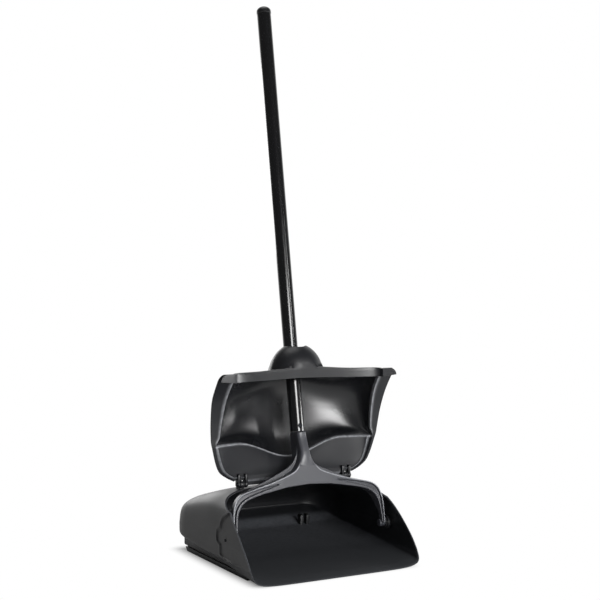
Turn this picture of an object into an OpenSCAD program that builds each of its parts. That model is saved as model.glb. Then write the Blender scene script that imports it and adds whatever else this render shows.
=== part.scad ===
// Upright lobby dustpan: a hooded pan on skids and rollers, a wishbone yoke, a long handle and a hinged lid.
// Millimetres, +Z up, the open mouth faces -Y, origin on the ground under the middle of the pan.

/* [Pan] */
// Width across the front edge of the floor
pan_width = 286; // [270:1:300]
// Length from the front edge to the back
pan_length = 324; // [312:1:336]
// Height of the front edge of the roof
pan_height = 126; // [122:1:130]
// Wall thickness of the pan
pan_wall = 3; // [2.5:0.1:3.5]
// Height of the floor's underside above the ground at the back
floor_lift = 30; // [28:0.5:32]

/* [Lid] */
// Reach of the lid from its hinge to its lip
lid_rise = 189; // [185:1:192]
// Wall thickness of the lid
lid_wall = 2.5; // [2:0.1:3]
// Width of the brim beside the lid
brim_width = 24; // [20:1:26]
// Depth of the lip that turns down at the lid's free edge
lip_drop = 13; // [9:1:15]

/* [Yoke] */
// Height of the yoke from its pivot to the end of the handle
yoke_rise = 160; // [155:1:165]
// Thickness of the yoke's arms from front to back
yoke_depth = 20; // [16:1:22]
// Diameter of the stem under the handle
stem_diameter = 24; // [22:0.5:25]
// Diameter of the pins the yoke turns on
pivot_diameter = 8; // [6:0.5:10]

/* [Handle] */
// Outside diameter of the handle tube
handle_diameter = 24; // [22:0.5:25]
// Wall thickness of the handle tube
handle_wall = 1.2; // [1:0.1:1.6]
// Length of the handle from the socket to the tip of its cap
handle_length = 737; // [600:1:800]
// Backward lean of the handle, in degrees
handle_lean = 9.6; // [9:0.1:10]

/* [Ground parts] */
// Diameter of the rollers at the back
roller_diameter = 20; // [18:0.5:21]
// Width of each skid
skid_width = 12; // [10:0.5:14]
// Diameter of the lid's hinge pins
hinge_pin_diameter = 4; // [3:0.25:4.5]

/* [Hidden] */
$fn = 64;
pan_black = "#26272a";
lid_black = "#2e2f33";
tube_black = "#141416";
steel_grey = "#8d9094";
wear_grey = "#3a3b3d";

overrun = 1;
seat_gap = 0.02;
running_gap = 0.08;
end_gap = 0.6;

floor_rise = floor_lift / pan_length;
floor_tilt = atan(floor_rise);
side_bulge = 11;
half_bulge = pan_width / 2 + side_bulge;
rear_taper = 2;
tail_round = 50;
tail_start = pan_length - tail_round;
tail_width = 38;
tail_floor = 22;
tail_roof = 30;
tail_crown = 1;
heel_round = 26;
heel_start = pan_length - heel_round;
roof_front_share = 150 / 324;
roof_front = pan_length * roof_front_share;
roof_drop_share = 32 / 126;
roof_drop = pan_height * roof_drop_share;
bulge_share = 0.36;
floor_power = 8;
roof_power = 5;
top_taper_share = 0.03;
cheek_run_share = 89 / 150;
cheek_run = roof_front * cheek_run_share;
cheek_foot = 6;
cheek_height_share = 98 / 126;
cheek_height = pan_height * cheek_height_share;
cheek_power = 1.35;
brow_power = 0.62;
lip_run = 25;
lip_share = 0.45;
corner_steps = 7;
corner_power = 1.5;
wall_rows = 8;
tail_rows = 6;

pivot_y_share = 98 / 324;
pivot_y = pan_length * pivot_y_share;
pivot_z_share = 56 / 126;
pivot_z = pan_height * pivot_z_share;
boss_diameter = 22;
boss_inset = 8.4;
boss_in = half_bulge - boss_inset;
boss_proud = 0.8;
boss_out = half_bulge + boss_proud;
pivot_head_diameter = 11;
pivot_head = 1.6;
washer_diameter = 17;
washer_thickness = 1.2;

hinge_x_share = 98 / 286;
hinge_x = pan_width * hinge_x_share;
hinge_y = roof_front;
hinge_lift = 6;
hinge_z = pan_height + hinge_lift;
knuckle_diameter = 11;
knuckle_length = 8;
web_back = 15;
web_drop = 10;
web_top = 3;
ear_gap = 0.6;
ear_thickness = 4;
ear_rise = 17;
ear_front = 4.5;
ear_back = 7.5;
hinge_head_diameter = 7;
hinge_head = 1.5;

lid_inset = 6;
lid_half = half_bulge - lid_inset;
hood_power = 2.5;
bell_share = 100 / 148;
bell_half = lid_half * bell_share;
apron_step = 3;
step_row = 2;
lid_width_shares = [0.745, 0.915, 1, 0.97, 0.955, 0.94, 0.926, 0.926];
lid_side_shares = [
    [0.005, 0.037], [-0.011, 0.127], [-0.04, 0.339], [-0.05, 0.429],
    [-0.079, 0.587], [-0.138, 0.752], [-0.238, 0.898], [-0.307, 0.975]
];
lid_middle_shares = [
    [0.011, 0.037], [0.053, 0.111], [0.106, 0.196], [0.196, 0.376],
    [0.243, 0.624], [0.233, 0.836], [0.116, 0.958], [-0.185, 1]
];
brim_shares = [0.18, 0.18, 0.24, 0.55, 0.75, 0.93, 1, 0.72];
brim_turn = 5;
lip_turn = 2;
lip_fade_share = 0.7;
rows_per_span = 3;
hood_columns = 28;
step_gap_share = 0.06;
cowl_radius = 34;
cowl_half = 38;
cowl_y_share = -4 / 189;
cowl_y = hinge_y + lid_rise * cowl_y_share;
cowl_z = hinge_z + lid_rise;
cowl_sink = 8;
cowl_steps = 16;
slot_side_gap = 7.5;
slot_half = stem_diameter / 2 + slot_side_gap;
slot_lead = 15;
slot_front = cowl_y - slot_lead;
slot_back_share = 42 / 189;
slot_back = hinge_y + lid_rise * slot_back_share;
slot_depth = 24;
slot_low = cowl_z - slot_depth;
slot_high = cowl_z + cowl_radius + overrun;

yoke_lean = handle_lean;
handle_set_back = 16.3;
yoke_inset = 13.5;
yoke_half = half_bulge - yoke_inset;
eye_diameter = 16;
eye_out = boss_in - end_gap - washer_thickness;
eye_length = 15;
eye_in = eye_out - eye_length;
arm_outer_shares = [
    [1, 0], [1, 0.187], [0.986, 0.287], [0.943, 0.375],
    [0.851, 0.434], [0.674, 0.475], [0.468, 0.519], [0.319, 0.559]
];
arm_inner_shares = [
    [0.933, 0], [0.933, 0.187], [0.915, 0.263], [0.865, 0.325],
    [0.78, 0.369], [0.638, 0.403], [0.44, 0.434], [0.284, 0.456]
];
crown_shares = [[0.185, 0.605], [0.122, 0.656], [0.08, 0.725], [0.06, 0.812], [0.06, 0.92]];
crown_low_share = 0.472;
crown_top_share = 0.92;
arm_steps = 4;
groove_shares = [0.34, 0.7];
groove_depth = 5;
groove_first = 3;
groove_last = 26;
stem_length = 50;
stem_cone = 34;
stem_foot_diameter = 18;
stem_y = pivot_y + yoke_rise * sin(yoke_lean) + handle_set_back;
stem_z = pivot_z + yoke_rise * cos(yoke_lean);
spigot_length = 40;
tube_bore = handle_diameter - 2 * handle_wall;

cap_dome = 9;
cap_plug = 22;
cap_collar = 4;
cap_proud = 0.5;
cap_diameter = handle_diameter + 2 * cap_proud;
tube_length = handle_length - cap_dome - cap_collar;
rivet_diameter = 5;
rivet_head_diameter = 8;
rivet_head = 1.4;
rivet_height = 9;

skid_x_share = 130 / 286;
skid_x = pan_width * skid_x_share;
skid_front_share = 54 / 324;
skid_front = pan_length * skid_front_share;
skid_back = heel_start;
skid_heel = 12;
skid_band = 7;
skid_groove = 3;
skid_groove_depth = 4;
pad_diameter = 11;
pad_bite = 0.4;
pad_height = pan_wall + pad_bite;
screw_shares = [0.2, 0.53, 0.86];
screw_diameter = 4;
screw_head_diameter = 7;
screw_head = 2.6;
screw_bite = 0.8;
screw_hold = pan_wall + screw_bite;
screw_sink = 3;

roller_x_share = 84 / 286;
roller_x = pan_width * roller_x_share;
roller_y_share = 272 / 324;
roller_y = pan_length * roller_y_share;
roller_width = 16;
roller_round = 2;
bracket_wall = 3;
bracket_plate = 2.4;
bracket_side_gap = 0.5;
bracket_run = 18;
prong_width = 6;
prong_gap = 6;
prong_depth = 12;
prong_height = 20;
hole_gap = 0.4;
roller_pin_diameter = 4;
roller_pin_head_diameter = 6.5;
roller_pin_head = 1.2;

function smooth(t) = let (c = min(max(t, 0), 1)) c * c * (3 - 2 * c);
function catmull(p, t) =
    let (
        n = len(p) - 1,
        i = min(floor(t), n - 1),
        u = t - i,
        a = p[max(i - 1, 0)],
        b = p[i],
        c = p[i + 1],
        d = p[min(i + 2, n)]
    )
    (2 * b + (c - a) * u + (2 * a - 5 * b + 4 * c - d) * u * u + (3 * b - a - 3 * c + d) * u * u * u) / 2;
function unit(v) = v / norm(v);
function scaled(p, x, y) = [p[0] * x, p[1] * y];

// Faces between rows of a grid of points; closed rows wrap round.
function grid_faces(rows, columns, first, wrap, turned) = [
    for (j = [0 : rows - 2]) for (i = [0 : columns - (wrap ? 1 : 2)])
        each let (
            a = first + j * columns + i,
            b = first + j * columns + (i + 1) % columns
        )
        turned
            ? [[a, b + columns, b], [a, a + columns, b + columns]]
            : [[a, b, b + columns], [a, b + columns, a + columns]]
];

// Pan skin: rounded sections from the mouth's rim to the back.
function tail(y, start, last) =
    let (s = min(max((y - start) / (last - start), 0), 1)) 1 - sqrt(1 - s * s);
function roof_z(y) = pan_height - roof_drop * smooth((y - roof_front) / (pan_length - roof_front));
function warp(t) = 45 + 45 * sign(t) * pow(abs(t), corner_power);
quarter = [for (i = [-corner_steps : corner_steps]) warp(i / corner_steps)];
right_angles = concat([for (a = quarter) a - 90], [for (i = [1 : 2 * corner_steps]) quarter[i]]);
right_count = len(right_angles);
ring_angles = concat(right_angles, [for (i = [right_count - 2 : -1 : 1]) 180 - right_angles[i]]);
ring_count = len(ring_angles);
row_count = wall_rows + tail_rows + 1;
function section_power(a) = sin(a) < 0 ? floor_power : roof_power;
function section_reach(a) =
    let (n = section_power(a)) pow(pow(abs(cos(a)), n) + pow(abs(sin(a)), n), -1 / n);
function pan_point(a, y, skin, last) =
    let (
        t = tail(y, tail_start, last),
        wide = half_bulge - skin - rear_taper * y / pan_length - tail_width * t,
        lip = lip_share + (1 - lip_share) * smooth(y / lip_run),
        low = y * floor_rise + skin * lip + tail_floor * tail(y, heel_start, last),
        high = roof_z(y) - skin - tail_roof * t,
        mid = low + bulge_share * (high - low),
        k = sin(a) * section_reach(a),
        h = cos(a) * section_reach(a)
    )
    [wide * h * (1 - top_taper_share * max(k, 0)), y, k < 0 ? mid + (mid - low) * k : mid + (high - mid) * k];
function rim_y(a) =
    let (
        k = sin(a) * section_reach(a),
        mid = bulge_share * pan_height,
        z = k < 0 ? mid * (1 + k) : mid + (pan_height - mid) * k,
        brow = (cheek_height - mid) / (pan_height - mid)
    )
    z < cheek_foot ? 0
    : z < cheek_height ? cheek_run * pow((z - cheek_foot) / (cheek_height - cheek_foot), cheek_power)
    : cheek_run + (roof_front - cheek_run) * pow((k - brow) / (1 - brow), brow_power);
function row_y(a, j, last) =
    j <= wall_rows
        ? rim_y(a) + (tail_start - rim_y(a)) * j / wall_rows
        : tail_start + (last - tail_start) * sin(90 * (j - wall_rows) / tail_rows);
function skin_points(skin, last) = [
    for (j = [0 : row_count - 1]) for (a = ring_angles) pan_point(a, row_y(a, j, last), skin, last)
];

function back_point(skin) =
    let (
        y = pan_length - tail_crown - skin,
        low = pan_point(-90, y, skin, y),
        high = pan_point(90, y, skin, y)
    )
    [0, y + tail_crown, (low[2] + high[2]) / 2];

module pan_skin() {
    outer = concat(skin_points(0, pan_length - tail_crown), [back_point(0)]);
    inner = concat(skin_points(pan_wall, pan_length - tail_crown - pan_wall), [back_point(pan_wall)]);
    base = len(outer);
    n = ring_count;
    last_row = (row_count - 1) * n;
    back = last_row + n;
    rim = [for (i = [0 : n - 1]) each let (b = (i + 1) % n) [[i, base + b, b], [i, base + i, base + b]]];
    polyhedron(
        points = concat(outer, inner),
        faces = concat(
            grid_faces(row_count, n, 0, true, false),
            grid_faces(row_count, n, base, true, true),
            rim,
            [for (i = [0 : n - 1]) [last_row + i, last_row + (i + 1) % n, back]],
            [for (i = [0 : n - 1]) [base + last_row + (i + 1) % n, base + last_row + i, base + back]]
        ),
        convexity = 6
    );
}

// Lid skin: spline profiles from the apron at the hinge to the lip, with a brim on both sides.
span_rows = (len(lid_side_shares) - 1) * rows_per_span;
lid_rows = concat(
    [for (i = [0 : step_row * rows_per_span]) [i / rows_per_span, apron_step, 0]],
    [[step_row + step_gap_share, 0, 0]],
    [for (i = [step_row * rows_per_span + 1 : span_rows]) [i / rows_per_span, 0, 0]],
    [[len(lid_side_shares) - 1, 0, 1]]
);
lid_columns = concat(
    [[-1, -1]],
    [for (i = [-hood_columns / 2 : hood_columns / 2]) [sin(180 * i / hood_columns), 0]],
    [[1, 1]]
);
function lid_point(row, column) =
    let (
        t = row[0],
        s = column[0],
        wide = lid_half * catmull(lid_width_shares, t),
        side = lid_rise * catmull(lid_side_shares, t),
        middle = lid_rise * catmull(lid_middle_shares, t),
        deep = pow(max(1 - pow(abs(s), hood_power), 0), 1 / hood_power),
        bell = (1 + cos(180 * min(abs(s) * wide / bell_half, 1))) / 2,
        brim = brim_width * catmull(brim_shares, t) * column[1]
    )
    [
        wide * s + brim,
        hinge_y + side[0] + (middle[0] - side[0]) * deep - brim_turn * abs(column[1]) - lip_turn * row[2],
        hinge_z + side[1] + (middle[1] - side[1]) * bell
            - lip_drop * row[2] * (1 - lip_fade_share * abs(column[1]))
    ];

module lid_skin() {
    rows = len(lid_rows);
    columns = len(lid_columns);
    grid = [for (r = lid_rows) [for (c = lid_columns) lid_point(r, c)]];
    normals = [
        for (j = [0 : rows - 1]) [
            for (i = [0 : columns - 1])
                unit(cross(
                    grid[j][min(i + 1, columns - 1)] - grid[j][max(i - 1, 0)],
                    grid[min(j + 1, rows - 1)][i] - grid[max(j - 1, 0)][i]
                ))
        ]
    ];
    front = [
        for (j = [0 : rows - 1]) for (i = [0 : columns - 1])
            grid[j][i] + normals[j][i] * lid_rows[j][1] * (1 - abs(lid_columns[i][1]))
    ];
    back = [for (j = [0 : rows - 1]) for (i = [0 : columns - 1]) grid[j][i] - normals[j][i] * lid_wall];
    base = len(front);
    edge = concat(
        [for (i = [0 : columns - 1]) i],
        [for (j = [1 : rows - 1]) j * columns + columns - 1],
        [for (i = [columns - 2 : -1 : 0]) (rows - 1) * columns + i],
        [for (j = [rows - 2 : -1 : 1]) j * columns]
    );
    n = len(edge);
    hem = [
        for (i = [0 : n - 1])
            each let (a = edge[i], b = edge[(i + 1) % n]) [[a, b, base + b], [a, base + b, base + a]]
    ];
    polyhedron(
        points = concat(front, back),
        faces = concat(
            grid_faces(rows, columns, 0, false, true),
            grid_faces(rows, columns, base, false, false),
            hem
        ),
        convexity = 8
    );
}

module spheroid(radius, half) {
    rotate([0, 90, 0])
        rotate_extrude()
            polygon([
                for (i = [0 : cowl_steps])
                    let (a = 180 * i / cowl_steps) [radius * sin(a), -half * cos(a)]
            ]);
}

// A round bar along X from one x to another.
module bar(diameter, from, to) {
    translate([from, 0, 0])
        rotate([0, 90, 0])
            cylinder(d = diameter, h = to - from);
}

module on_ground() {
    translate([0, -pan_length / 2, 0]) children();
}

module at_pivot() {
    translate([0, pivot_y, pivot_z]) children();
}

module at_hinge(side) {
    translate([side * hinge_x, hinge_y, hinge_z]) children();
}

module on_handle() {
    translate([0, stem_y, stem_z])
        rotate([-handle_lean, 0, 0])
            children();
}

module on_floor() {
    rotate([floor_tilt, 0, 0]) children();
}

module at_screws(side) {
    on_floor()
        for (p = screw_shares)
            translate([side * skid_x, (skid_front + (skid_back - skid_front) * p) / cos(floor_tilt), 0])
                children();
}

module at_roller(side) {
    translate([side * roller_x, roller_y, roller_diameter / 2]) children();
}

prong_span = 2 * prong_width + prong_gap;

module prong_hole(side) {
    on_floor()
        translate([
            side * roller_x - prong_span / 2 - hole_gap,
            roller_y / cos(floor_tilt) - prong_depth / 2 - hole_gap,
            -overrun
        ])
            cube([prong_span + 2 * hole_gap, prong_depth + 2 * hole_gap, prong_height]);
}

module pan_shell() {
    color(pan_black)
        on_ground()
            difference() {
                union() {
                    mirror([1, 0, 0]) pan_skin();
                    for (s = [-1, 1]) {
                        at_pivot()
                            mirror([s < 0 ? 1 : 0, 0, 0])
                                bar(boss_diameter, boss_in, boss_out);
                        at_hinge(s) {
                            bar(knuckle_diameter, -knuckle_length / 2, knuckle_length / 2);
                            translate([-knuckle_length / 2, 0, -hinge_lift - web_drop + web_top])
                                cube([knuckle_length, web_back, web_drop]);
                        }
                        at_screws(s) cylinder(d = pad_diameter, h = pad_height);
                    }
                }
                for (s = [-1, 1]) {
                    at_pivot()
                        mirror([s < 0 ? 1 : 0, 0, 0])
                            bar(pivot_diameter + 2 * running_gap, boss_in - overrun, boss_out + overrun);
                    at_hinge(s)
                        bar(
                            hinge_pin_diameter + 2 * seat_gap,
                            -knuckle_length / 2 - overrun,
                            knuckle_length / 2 + overrun
                        );
                    at_screws(s)
                        translate([0, 0, -overrun])
                            cylinder(d = screw_diameter + 2 * seat_gap, h = screw_hold + overrun);
                    prong_hole(s);
                }
            }
}

module skid(side) {
    color(wear_grey)
        on_ground()
            difference() {
                translate([side * skid_x, 0, 0])
                    rotate([90, 0, 90])
                        linear_extrude(skid_width, center = true)
                            polygon([
                                [skid_front, 0],
                                [skid_back - skid_heel, 0],
                                [skid_back, skid_heel],
                                [skid_back, skid_back * floor_rise],
                                [skid_front, skid_front * floor_rise]
                            ]);
                translate([
                    side * (skid_x + skid_width / 2) - skid_groove_depth,
                    skid_front - overrun,
                    skid_band
                ])
                    cube([2 * skid_groove_depth, skid_back - skid_front + 2 * overrun, skid_groove]);
                at_screws(side) {
                    translate([0, 0, -skid_back])
                        cylinder(d = screw_diameter + 2 * seat_gap, h = skid_back + overrun);
                    translate([0, 0, -skid_back - screw_sink])
                        cylinder(d = screw_head_diameter + 2 * seat_gap, h = skid_back);
                }
            }
}

module skid_left() {
    skid(-1);
}

module skid_right() {
    skid(1);
}

module skid_screws() {
    color(steel_grey)
        on_ground()
            for (s = [-1, 1])
                at_screws(s) {
                    translate([0, 0, -screw_sink])
                        cylinder(d = screw_diameter, h = screw_sink + screw_hold - seat_gap);
                    translate([0, 0, -screw_sink - screw_head])
                        cylinder(d = screw_head_diameter, h = screw_head);
                }
}

module roller_bracket(side) {
    half_in = roller_width / 2 + bracket_side_gap;
    half_out = half_in + bracket_wall;
    bracket_half = roller_diameter / 2 - bracket_wall;
    bracket_rise = (roller_y - bracket_run / 2) * floor_rise - (roller_diameter + bracket_plate) / 2;
    color(pan_black)
        on_ground()
            difference() {
                union() {
                    on_floor()
                        translate([side * roller_x, roller_y / cos(floor_tilt), 0]) {
                            translate([-half_out, -bracket_run / 2, -bracket_plate - seat_gap])
                                cube([2 * half_out, bracket_run, bracket_plate]);
                            for (p = [-1, 1]) {
                                translate([
                                    p * (prong_gap + prong_width) / 2 - prong_width / 2,
                                    -prong_depth / 2,
                                    -bracket_plate
                                ])
                                    cube([prong_width, prong_depth, bracket_plate + prong_height]);
                            }
                        }
                    at_roller(side)
                        for (p = [-1, 1])
                            mirror([p < 0 ? 1 : 0, 0, 0])
                                translate([half_in, 0, 0]) {
                                    bar(2 * bracket_half, 0, bracket_wall);
                                    translate([0, -bracket_half, 0])
                                        cube([bracket_wall, 2 * bracket_half, bracket_rise]);
                                }
                }
                at_roller(side)
                    bar(roller_pin_diameter + 2 * seat_gap, -half_out - overrun, half_out + overrun);
            }
}

module roller_bracket_left() {
    roller_bracket(-1);
}

module roller_bracket_right() {
    roller_bracket(1);
}

module roller(side) {
    half = roller_width / 2;
    bore = roller_pin_diameter / 2 + running_gap;
    color(wear_grey)
        on_ground()
            at_roller(side)
                rotate([0, 90, 0])
                    rotate_extrude()
                        polygon([
                            [bore, -half],
                            [roller_diameter / 2 - roller_round, -half],
                            [roller_diameter / 2, roller_round - half],
                            [roller_diameter / 2, half - roller_round],
                            [roller_diameter / 2 - roller_round, half],
                            [bore, half]
                        ]);
}

module roller_left() {
    roller(-1);
}

module roller_right() {
    roller(1);
}

module roller_pin(side) {
    half = roller_width / 2 + bracket_side_gap + bracket_wall;
    color(steel_grey)
        on_ground()
            at_roller(side) {
                bar(roller_pin_diameter, -half, half);
                bar(roller_pin_head_diameter, half, half + roller_pin_head);
                bar(roller_pin_head_diameter, -half - roller_pin_head, -half);
            }
}

module roller_pin_left() {
    roller_pin(-1);
}

module roller_pin_right() {
    roller_pin(1);
}

function arm_curve(shares) = [
    for (i = [0 : (len(shares) - 1) * arm_steps])
        scaled(catmull(shares, i / arm_steps), yoke_half, yoke_rise)
];
arm_outer = arm_curve(arm_outer_shares);
arm_inner = arm_curve(arm_inner_shares);
crown = [for (p = crown_shares) scaled(p, yoke_half, yoke_rise)];
yoke_right = concat(
    arm_outer,
    crown,
    [[0, yoke_rise * crown_top_share], [0, yoke_rise * crown_low_share]],
    [for (i = [len(arm_inner) - 1 : -1 : 0]) arm_inner[i]]
);
groove_right = concat(
    [for (i = [groove_first : groove_last]) arm_outer[i] + (arm_inner[i] - arm_outer[i]) * groove_shares[0]],
    [for (i = [groove_last : -1 : groove_first])
        arm_outer[i] + (arm_inner[i] - arm_outer[i]) * groove_shares[1]]
);

module yoke() {
    color(pan_black)
        on_ground()
            difference() {
                union() {
                    at_pivot() {
                        rotate([90 - yoke_lean, 0, 0])
                            for (s = [0, 1])
                                mirror([s, 0, 0])
                                    difference() {
                                        linear_extrude(yoke_depth, center = true) polygon(yoke_right);
                                        translate([0, 0, yoke_depth / 2 - groove_depth])
                                            linear_extrude(groove_depth + overrun) polygon(groove_right);
                                    }
                        for (s = [0, 1])
                            mirror([s, 0, 0])
                                bar(eye_diameter, eye_in, eye_out);
                    }
                    on_handle() {
                        translate([0, 0, -stem_length]) cylinder(d = stem_diameter, h = stem_length);
                        translate([0, 0, -stem_length - stem_cone])
                            cylinder(d1 = stem_foot_diameter, d2 = stem_diameter, h = stem_cone);
                        cylinder(d = tube_bore - 2 * seat_gap, h = spigot_length);
                    }
                }
                at_pivot()
                    for (s = [0, 1])
                        mirror([s, 0, 0])
                            bar(pivot_diameter + 2 * seat_gap, eye_in - overrun, eye_out + overrun);
                on_handle()
                    translate([0, 0, rivet_height])
                        rotate([90, 0, 0])
                            cylinder(d = rivet_diameter + 2 * seat_gap, h = handle_diameter, center = true);
            }
}

module pivot_pin(side) {
    color(steel_grey)
        on_ground()
            at_pivot()
                mirror([side < 0 ? 1 : 0, 0, 0]) {
                    bar(pivot_diameter, eye_in, boss_out + end_gap);
                    bar(pivot_head_diameter, boss_out + end_gap, boss_out + end_gap + pivot_head);
                }
}

module pivot_pin_left() {
    pivot_pin(-1);
}

module pivot_pin_right() {
    pivot_pin(1);
}

module pivot_washer(side) {
    color(wear_grey)
        on_ground()
            at_pivot()
                mirror([side < 0 ? 1 : 0, 0, 0])
                    difference() {
                        bar(washer_diameter, eye_out, eye_out + washer_thickness);
                        bar(
                            pivot_diameter + 2 * seat_gap,
                            eye_out - overrun,
                            eye_out + washer_thickness + overrun
                        );
                    }
}

module pivot_washer_left() {
    pivot_washer(-1);
}

module pivot_washer_right() {
    pivot_washer(1);
}

module handle_tube() {
    color(tube_black)
        on_ground()
            on_handle()
                difference() {
                    cylinder(d = handle_diameter, h = tube_length);
                    translate([0, 0, -overrun]) cylinder(d = tube_bore, h = tube_length + 2 * overrun);
                    translate([0, 0, rivet_height])
                        rotate([90, 0, 0])
                            cylinder(
                                d = rivet_diameter + 2 * seat_gap,
                                h = handle_diameter + 2 * overrun,
                                center = true
                            );
                }
}

module handle_rivet() {
    color(steel_grey)
        on_ground()
            on_handle()
                translate([0, 0, rivet_height])
                    rotate([90, 0, 0]) {
                        cylinder(d = rivet_diameter, h = handle_diameter, center = true);
                        for (s = [0, 1])
                            mirror([0, 0, s])
                                translate([0, 0, handle_diameter / 2])
                                    cylinder(d = rivet_head_diameter, h = rivet_head);
                    }
}

module handle_cap() {
    plug = tube_bore / 2 - seat_gap;
    color(tube_black)
        on_ground()
            on_handle()
                translate([0, 0, tube_length]) {
                    translate([0, 0, -cap_plug]) cylinder(r = plug, h = cap_plug);
                    cylinder(d = cap_diameter, h = cap_collar);
                    translate([0, 0, cap_collar])
                        rotate_extrude()
                            polygon(concat(
                                [[0, 0]],
                                [
                                    for (i = [0 : cowl_steps])
                                        let (a = 90 * i / cowl_steps)
                                        [cap_diameter / 2 * cos(a), cap_dome * sin(a)]
                                ]
                            ));
                }
}

module lid_ears(side) {
    for (p = [-1, 1])
        at_hinge(side)
            mirror([p < 0 ? 1 : 0, 0, 0])
                translate([knuckle_length / 2 + ear_gap, 0, 0]) {
                    bar(knuckle_diameter, 0, ear_thickness);
                    translate([0, -ear_front, 0]) cube([ear_thickness, ear_front + ear_back, ear_rise]);
                }
}

module lid() {
    color(lid_black)
        on_ground()
            difference() {
                union() {
                    difference() {
                        union() {
                            mirror([1, 0, 0]) lid_skin();
                            translate([0, cowl_y, cowl_z])
                                intersection() {
                                    spheroid(cowl_radius, cowl_half);
                                    translate([-2 * cowl_half, -2 * cowl_radius, -cowl_sink])
                                        cube([4 * cowl_half, 4 * cowl_radius, 2 * cowl_radius]);
                                }
                        }
                        translate([0, cowl_y, cowl_z]) spheroid(cowl_radius - lid_wall, cowl_half - lid_wall);
                        translate([0, slot_front + slot_half, slot_low])
                            cylinder(r = slot_half, h = slot_high - slot_low);
                        translate([-slot_half, slot_front + slot_half, slot_low])
                            cube([2 * slot_half, slot_back - slot_front - slot_half, slot_high - slot_low]);
                    }
                    for (s = [-1, 1]) lid_ears(s);
                }
                for (s = [-1, 1])
                    for (p = [-1, 1])
                        at_hinge(s)
                            mirror([p < 0 ? 1 : 0, 0, 0])
                                bar(
                                    hinge_pin_diameter + 2 * running_gap,
                                    knuckle_length / 2,
                                    knuckle_length / 2 + ear_gap + ear_thickness + overrun
                                );
            }
}

module hinge_pin(side) {
    half = knuckle_length / 2 + ear_gap + ear_thickness + end_gap;
    color(steel_grey)
        on_ground()
            at_hinge(side) {
                bar(hinge_pin_diameter, -half, half);
                bar(hinge_head_diameter, half, half + hinge_head);
                bar(hinge_head_diameter, -half - hinge_head, -half);
            }
}

module hinge_pin_left() {
    hinge_pin(-1);
}

module hinge_pin_right() {
    hinge_pin(1);
}

pan_shell();
skid_left();
skid_right();
skid_screws();
roller_bracket_left();
roller_bracket_right();
roller_left();
roller_right();
roller_pin_left();
roller_pin_right();
yoke();
pivot_pin_left();
pivot_pin_right();
pivot_washer_left();
pivot_washer_right();
handle_tube();
handle_rivet();
handle_cap();
lid();
hinge_pin_left();
hinge_pin_right();
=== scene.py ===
import bpy
import bmesh
import math
import numpy as np
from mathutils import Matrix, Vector
from mathutils.kdtree import KDTree


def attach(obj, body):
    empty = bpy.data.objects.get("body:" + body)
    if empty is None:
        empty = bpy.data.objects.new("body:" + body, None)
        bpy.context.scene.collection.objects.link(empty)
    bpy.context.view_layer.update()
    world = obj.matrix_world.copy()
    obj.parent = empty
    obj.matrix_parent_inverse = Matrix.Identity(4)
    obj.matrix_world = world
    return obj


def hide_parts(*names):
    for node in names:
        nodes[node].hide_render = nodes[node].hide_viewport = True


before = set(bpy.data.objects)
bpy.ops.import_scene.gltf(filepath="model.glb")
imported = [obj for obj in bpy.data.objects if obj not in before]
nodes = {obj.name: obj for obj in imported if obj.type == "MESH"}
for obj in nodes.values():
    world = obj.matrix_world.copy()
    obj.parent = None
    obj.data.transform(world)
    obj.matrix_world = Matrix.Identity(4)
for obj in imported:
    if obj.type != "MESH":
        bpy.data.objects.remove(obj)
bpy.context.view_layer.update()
scene = bpy.context.scene
mm = 0.001
halfLength = 162.0  # shapes are written from the pan's front edge, this far ahead of the frame's origin


# Small helpers

def linear(hexColour):  # sRGB to linear light
    parts = [int(hexColour[i:i + 2], 16) / 255 for i in (1, 3, 5)]
    return [c / 12.92 if c <= 0.04045 else ((c + 0.055) / 1.055) ** 2.4 for c in parts] + [1.0]


def add(tree, kind, sockets=None, **settings):  # one node, its settings, its values and its links
    node = tree.nodes.new(kind)
    for name, value in settings.items():
        setattr(node, name, value)
    for key, value in (sockets or {}).items():
        if isinstance(value, bpy.types.NodeSocket):
            tree.links.new(value, node.inputs[key])
        else:
            node.inputs[key].default_value = value
    return node


def calc(tree, operation, first, second):  # one sum on two values
    return add(tree, "ShaderNodeMath", {0: first, 1: second}, operation=operation).outputs["Value"]


def ranged(tree, value, low, high, start=0.0, end=1.0, kind="LINEAR"):  # start to end becomes low to high
    sockets = {"Value": value, "From Min": start, "From Max": end, "To Min": low, "To Max": high}
    return add(tree, "ShaderNodeMapRange", sockets, interpolation_type=kind).outputs["Result"]


def noise(tree, where, size, **values):  # a cloudy pattern, size in millimetres
    sockets = {"Vector": where, "Scale": 1 / (size * mm)}
    sockets.update(values)
    return add(tree, "ShaderNodeTexNoise", sockets).outputs["Fac"]


def toned(tree, factor, dark, light):  # a colour that drifts between two
    ramp = add(tree, "ShaderNodeValToRGB", {"Fac": factor})
    ramp.color_ramp.elements[0].color = linear(dark)
    ramp.color_ramp.elements[1].color = linear(light)
    return ramp.outputs["Color"]


def freshMaterial(name):
    material = bpy.data.materials.new(name)
    material.use_nodes = True
    tree = material.node_tree
    tree.nodes.clear()
    return material, tree, add(tree, "ShaderNodeTexCoord").outputs["Object"]


def smoothStep(t):
    c = np.clip(t, 0, 1)
    return c * c * (3 - 2 * c)


def rising(value, start, run):  # 0 up to the start, 1 after the run
    return smoothStep((value - start) / run)


def falling(value, end, run):  # 1 until the run before the end, then down to 0
    return smoothStep((end - value) / run)


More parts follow.
